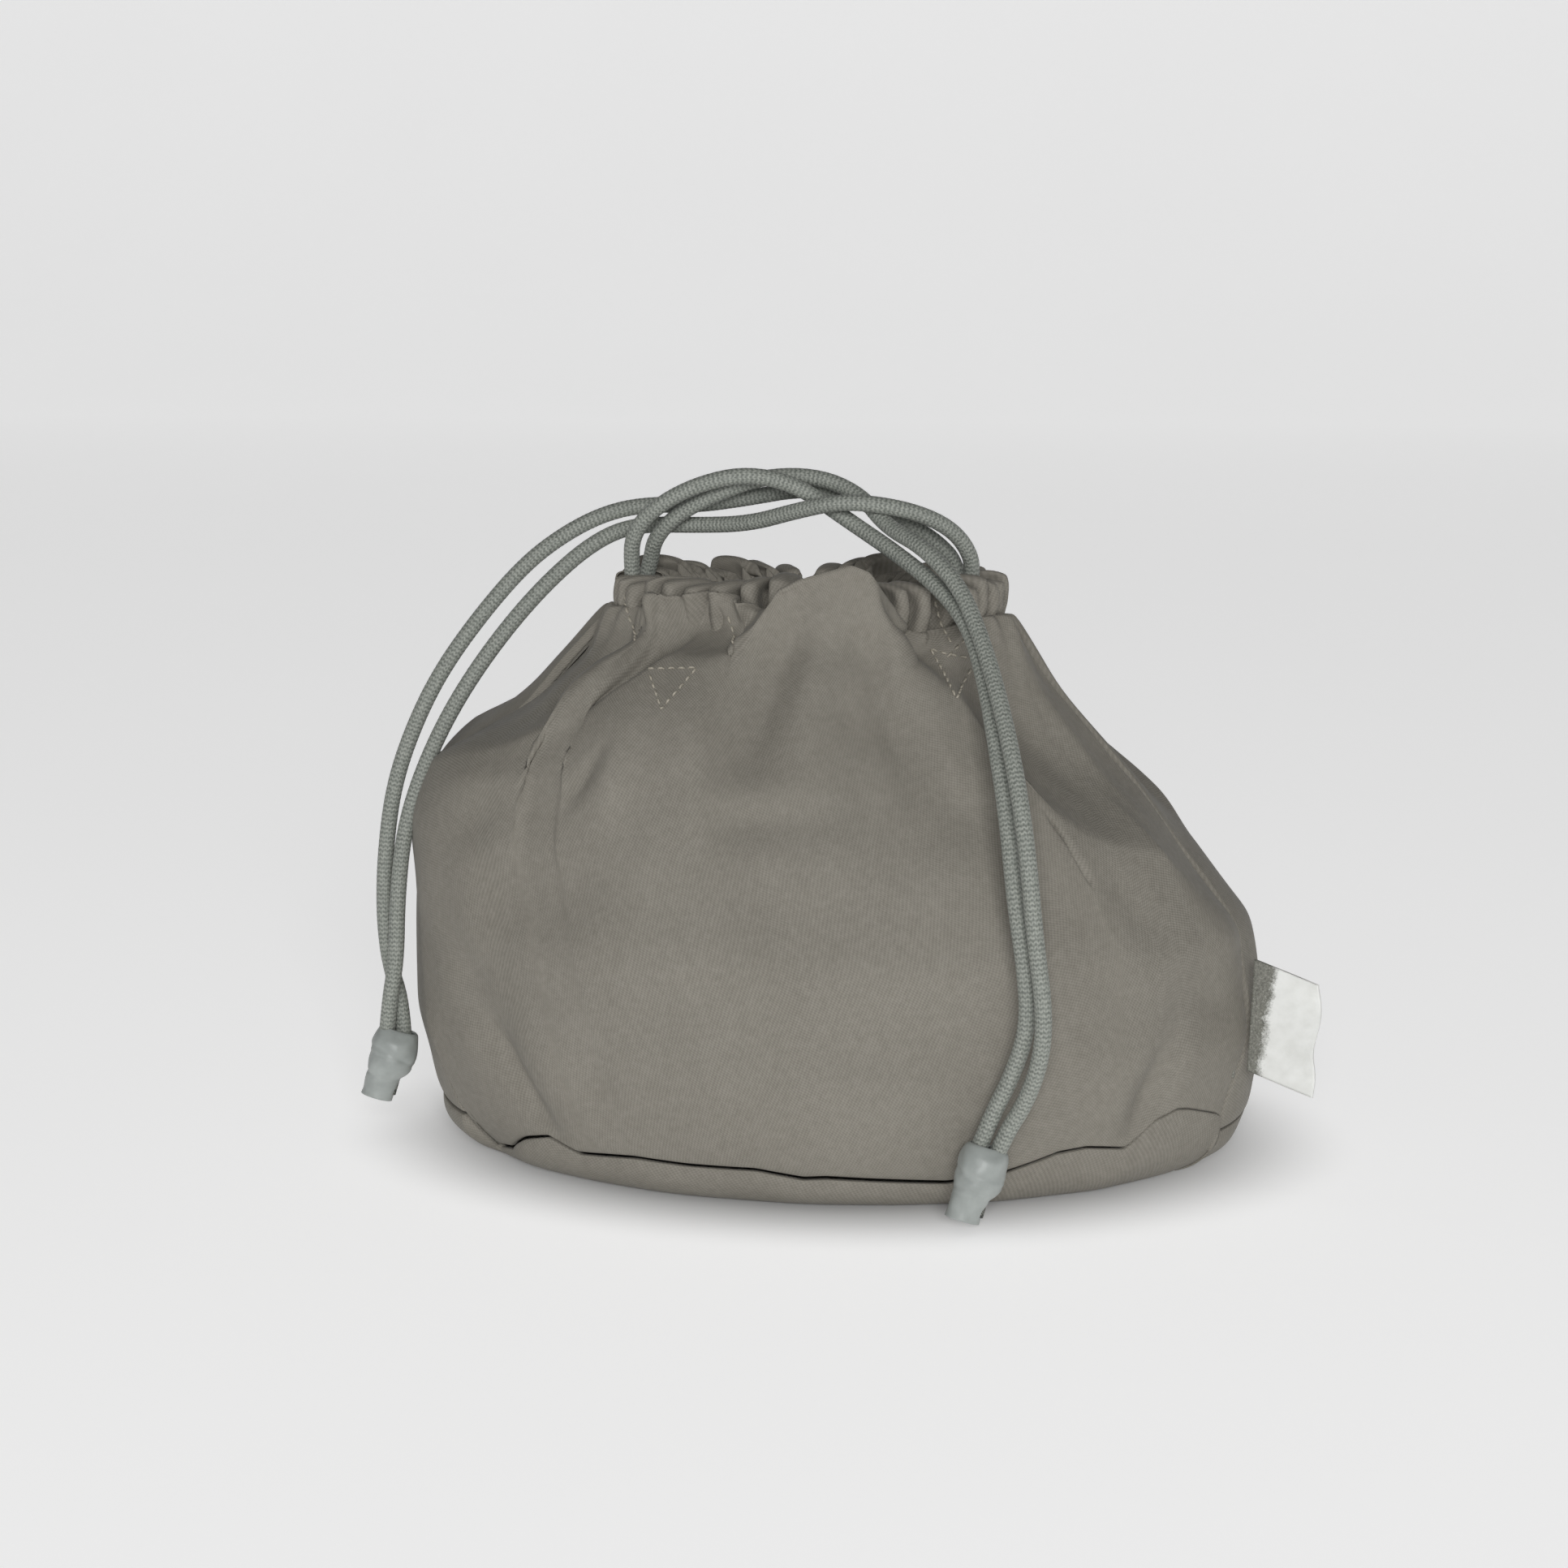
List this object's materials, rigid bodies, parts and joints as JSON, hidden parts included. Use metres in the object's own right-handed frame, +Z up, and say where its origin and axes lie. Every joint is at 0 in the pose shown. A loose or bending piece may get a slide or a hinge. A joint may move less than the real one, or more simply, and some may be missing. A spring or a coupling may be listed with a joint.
{
  "type": "drawstring shoe bag",
  "caption": "Soft drawstring shoe bag, stuffed and standing, with a gathered mouth, two cords that pull from opposite sides, knotted cord ends in sleeves and a folded side label.",
  "frame": {"origin": "middle of the face that the bag rests on", "axes": "+Z up, -Y the front of the bag, +X the side with the label"},
  "size_m": [0.2975, 0.182, 0.2132],
  "materials": {
    "plain_weave_cloth": "taupe-grey plain-weave nylon, soft sheen",
    "braided_cord": "grey-green braided polyester cord",
    "shrunk_sleeve": "grey shrunk polyolefin sleeve, creased, semi-matt",
    "sewing_thread": "tan polyester sewing thread",
    "binding_tape": "woven binding tape",
    "patch_cloth": "plain-weave nylon patch",
    "woven_label": "damask-woven label, heathered grey and white"
  },
  "bodies": {
    "bag": {"front_panel": "plain_weave_cloth", "back_panel": "plain_weave_cloth", "base_panel": "plain_weave_cloth", "base_seam_binding": "binding_tape", "side_seam_binding_left": "binding_tape", "side_seam_binding_right": "binding_tape", "reinforcement_patch_left": "patch_cloth", "reinforcement_patch_right": "patch_cloth", "triangle_stitching_left": "sewing_thread", "triangle_stitching_right": "sewing_thread", "channel_front": "plain_weave_cloth", "channel_back": "plain_weave_cloth", "channel_stitching_front": "sewing_thread", "channel_stitching_back": "sewing_thread", "exit_stitching_left": "sewing_thread", "exit_stitching_right": "sewing_thread", "drawcord_left_in_channel": "braided_cord", "drawcord_right_in_channel": "braided_cord", "left_exit_strand_outer": "braided_cord", "left_exit_strand_inner": "braided_cord", "right_exit_strand_inner": "braided_cord", "right_exit_strand_outer": "braided_cord", "cord_sleeve_left": "shrunk_sleeve", "cord_sleeve_right": "shrunk_sleeve", "cord_knot_left": "braided_cord", "cord_knot_right": "braided_cord", "cord_ends_left": "braided_cord", "cord_ends_right": "braided_cord", "label_sewn_edge": "woven_label"},
    "label": {"side_label": "woven_label"}
  },
  "joints": [
    {"name": "label_swing", "type": "hinge", "parent": "bag", "child": "label", "pos_m": [0.1259, -0.0327, 0.03], "axis": [0.0527, 0.2491, 0.967], "range_deg": [-60, 60], "stiffness_Nm_per_rad": 0.002}
  ]
}
